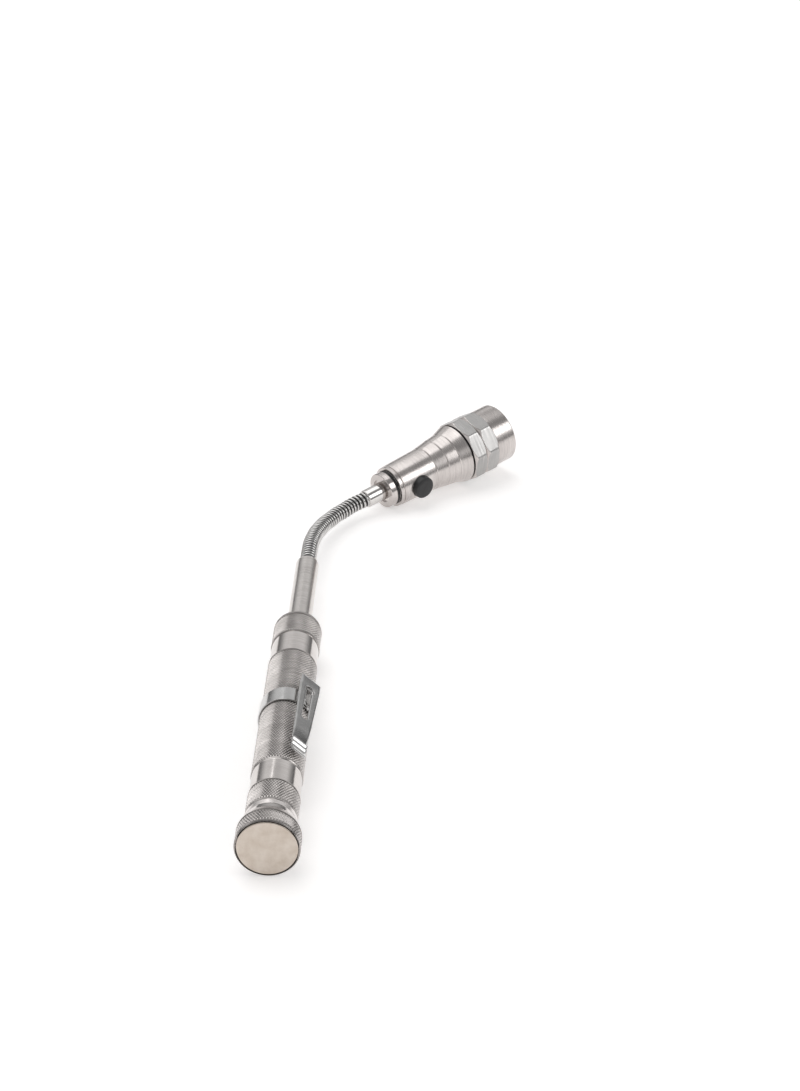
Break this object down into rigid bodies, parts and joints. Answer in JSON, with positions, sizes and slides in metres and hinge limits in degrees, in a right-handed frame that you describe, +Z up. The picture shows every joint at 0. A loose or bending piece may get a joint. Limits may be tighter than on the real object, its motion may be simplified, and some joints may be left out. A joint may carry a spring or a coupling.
{
  "type": "magnetic pickup tool",
  "caption": "Telescoping pickup tool with a knurled handle, magnets at both ends, a bendable coil neck, a small light head and a pocket clip.",
  "frame": {"origin": "centre of the tail magnet's outer face", "axes": "+Y along the handle towards its mouth, +Z up with the tool lying on its side, +X towards the side that the neck is bent to"},
  "size_m": [0.0785, 0.2686, 0.0243],
  "materials": {
    "satin_nickel": "satin nickel over fine turning marks",
    "knurled_nickel": "diamond knurl under satin nickel",
    "tube_steel": "fine drawn stainless steel",
    "coil_steel": "bright round spring wire",
    "clip_chrome": "polished",
    "brass": "plain",
    "magnet_nickel": "dull warm nickel with faint smears",
    "magnet_steel": "plated steel",
    "black_rubber": "smooth matt",
    "black_plastic": "moulded",
    "white_plastic": "moulded",
    "board_green": "lacquered circuit board",
    "spring_wire": "plated wire",
    "cell_steel": "plated cell case",
    "led_epoxy": "clear epoxy",
    "window_clear": "clear"
  },
  "bodies": {
    "handle": {"handle_tube": "knurled_nickel", "front_bush": "brass", "tail_cap": "knurled_nickel", "tail_magnet": "magnet_nickel", "tail_pole_plate": "magnet_steel"},
    "tube_outer": {"tube_3": "tube_steel", "tube_3_sleeve": "brass"},
    "tube_middle": {"tube_2": "tube_steel", "tube_2_sleeve": "brass"},
    "tube_inner": {"tube_1": "tube_steel", "tube_1_sleeve": "brass"},
    "clip_carrier": {"clip_band": "clip_chrome"},
    "clip": {"pocket_clip": "clip_chrome"},
    "neck_slider": {"neck_slider": "brass"},
    "neck_root": {"neck_root": "coil_steel"},
    "neck_01": {"coil_01": "coil_steel"},
    "neck_02": {"coil_02": "coil_steel"},
    "neck_03": {"coil_03": "coil_steel"},
    "neck_04": {"coil_04": "coil_steel"},
    "neck_05": {"coil_05": "coil_steel"},
    "neck_06": {"coil_06": "coil_steel"},
    "neck_07": {"coil_07": "coil_steel"},
    "neck_08": {"coil_08": "coil_steel"},
    "neck_09": {"coil_09": "coil_steel"},
    "neck_10": {"coil_10": "coil_steel"},
    "neck_11": {"coil_11": "coil_steel"},
    "head": {"coil_end": "coil_steel", "neck_ferrule": "tube_steel", "rear_plug": "satin_nickel", "rear_o_ring": "black_rubber", "head_shell": "satin_nickel", "switch_carrier": "black_plastic", "switch_board": "board_green", "tact_switch": "black_plastic", "battery_spring": "spring_wire", "battery_sleeve": "white_plastic", "button_cells": "cell_steel"},
    "button": {"button_cap": "black_rubber"},
    "seal": {"front_seal": "black_rubber"},
    "bezel": {"grip_collar": "satin_nickel", "bezel": "satin_nickel", "led_board": "board_green", "board_contact": "brass", "leds": "led_epoxy", "face_plate": "black_plastic", "magnet_cup": "magnet_steel", "head_magnet": "magnet_nickel", "window": "window_clear"}
  },
  "joints": [
    {"name": "tube_3_slide", "type": "slide", "parent": "handle", "child": "tube_outer", "axis": [0, 1, 0], "range_m": [0, 0.081]},
    {"name": "tube_2_slide", "type": "slide", "parent": "tube_outer", "child": "tube_middle", "axis": [0, 1, 0], "range_m": [0, 0.085]},
    {"name": "tube_1_slide", "type": "slide", "parent": "tube_middle", "child": "tube_inner", "axis": [0, 1, 0], "range_m": [-0.0508, 0.035]},
    {"name": "neck_slide", "type": "slide", "parent": "tube_inner", "child": "neck_slider", "axis": [0, 1, 0], "range_m": [-0.005, 0]},
    {"name": "neck_turn", "type": "hinge", "parent": "neck_slider", "child": "neck_root", "pos_m": [0, 0.159, 0], "axis": [0, 1, 0], "continuous": true},
    {"name": "neck_bend_01", "type": "hinge", "parent": "neck_root", "child": "neck_01", "pos_m": [0, 0.173, 0], "axis": [0, 0, -1], "range_deg": [-3.76, 1.01]},
    {"name": "neck_tilt_02", "type": "hinge", "parent": "neck_01", "child": "neck_02", "pos_m": [0.00011, 0.1776, 0], "axis": [0.9997, -0.024, 0], "range_deg": [-10, 10]},
    {"name": "neck_bend_03", "type": "hinge", "parent": "neck_02", "child": "neck_03", "pos_m": [0.00022, 0.18216, -0.00056], "axis": [-0.0029, -0.1206, -0.9927], "range_deg": [-12.84, 3.45]},
    {"name": "neck_tilt_04", "type": "hinge", "parent": "neck_03", "child": "neck_04", "pos_m": [0.00071, 0.1867, -0.00111], "axis": [0.9944, -0.1051, 0.0099], "range_deg": [-10, 10]},
    {"name": "neck_bend_05", "type": "hinge", "parent": "neck_04", "child": "neck_05", "pos_m": [0.00119, 0.19123, -0.00176], "axis": [-0.0052, -0.1426, -0.9898], "range_deg": [-19.62, 5.27]},
    {"name": "neck_tilt_06", "type": "hinge", "parent": "neck_05", "child": "neck_06", "pos_m": [0.00224, 0.19566, -0.00241], "axis": [0.9735, -0.227, 0.0275], "range_deg": [-10, 10]},
    {"name": "neck_bend_07", "type": "hinge", "parent": "neck_06", "child": "neck_07", "pos_m": [0.00329, 0.20011, -0.00297], "axis": [-0.001, -0.1245, -0.9922], "range_deg": [-25.48, 6.85]},
    {"name": "neck_tilt_08", "type": "hinge", "parent": "neck_07", "child": "neck_08", "pos_m": [0.00506, 0.20432, -0.0035], "axis": [0.9237, -0.3803, 0.0468], "range_deg": [-10, 10]},
    {"name": "neck_bend_09", "type": "hinge", "parent": "neck_08", "child": "neck_09", "pos_m": [0.00682, 0.20856, -0.00376], "axis": [0.0216, -0.0704, -0.9973], "range_deg": [-30.81, 8.28]},
    {"name": "neck_tilt_10", "type": "hinge", "parent": "neck_09", "child": "neck_10", "pos_m": [0.00937, 0.21238, -0.00397], "axis": [0.8313, -0.5529, 0.057], "range_deg": [-10, 10]},
    {"name": "neck_bend", "type": "hinge", "parent": "neck_10", "child": "neck_11", "pos_m": [0.01191, 0.21622, -0.00377], "axis": [0.0713, 0.0044, -0.9974], "range_deg": [-41.58, 11.17]},
    {"name": "neck_tilt", "type": "hinge", "parent": "neck_11", "child": "head", "pos_m": [0.01536, 0.21925, -0.00351], "axis": [0.6576, -0.7521, 0.0437], "range_deg": [-10, 10]},
    {"name": "clip_slide", "type": "slide", "parent": "handle", "child": "clip_carrier", "axis": [0, 1, 0], "range_m": [-0.022, 0.0318]},
    {"name": "clip_flex", "type": "hinge", "parent": "clip_carrier", "child": "clip", "pos_m": [0.00647, 0.0767, 0.00719], "axis": [-0.7431, 0, 0.6691], "range_deg": [0, 5], "stiffness_Nm_per_rad": 2.5},
    {"name": "button_press", "type": "slide", "parent": "head", "child": "button", "axis": [-0.668, 0.7387, 0.0895], "range_m": [0, 0.0008], "stiffness_N_per_m": 600},
    {"name": "bezel_turn", "type": "hinge", "parent": "head", "child": "seal", "pos_m": [0.04747, 0.24764, 0.00186], "axis": [0.7434, 0.6572, 0.1245], "range_deg": [0, 1080]},
    {"name": "bezel_travel", "type": "slide", "parent": "seal", "child": "bezel", "axis": [0.7434, 0.6572, 0.1245], "range_m": [0, 0.00301]}
  ],
  "couplings": [
    {"joint": "neck_bend_01", "follows": "neck_bend", "ratio": 0.090444},
    {"joint": "neck_bend_03", "follows": "neck_bend", "ratio": 0.30846},
    {"joint": "neck_bend_05", "follows": "neck_bend", "ratio": 0.47136},
    {"joint": "neck_bend_07", "follows": "neck_bend", "ratio": 0.61225},
    {"joint": "neck_bend_09", "follows": "neck_bend", "ratio": 0.74022},
    {"joint": "neck_tilt_02", "follows": "neck_tilt", "ratio": 1},
    {"joint": "neck_tilt_04", "follows": "neck_tilt", "ratio": 1},
    {"joint": "neck_tilt_06", "follows": "neck_tilt", "ratio": 1},
    {"joint": "neck_tilt_08", "follows": "neck_tilt", "ratio": 1},
    {"joint": "neck_tilt_10", "follows": "neck_tilt", "ratio": 1},
    {"joint": "bezel_travel", "follows": "bezel_turn", "m_per_rad": 0.00015915}
  ]
}
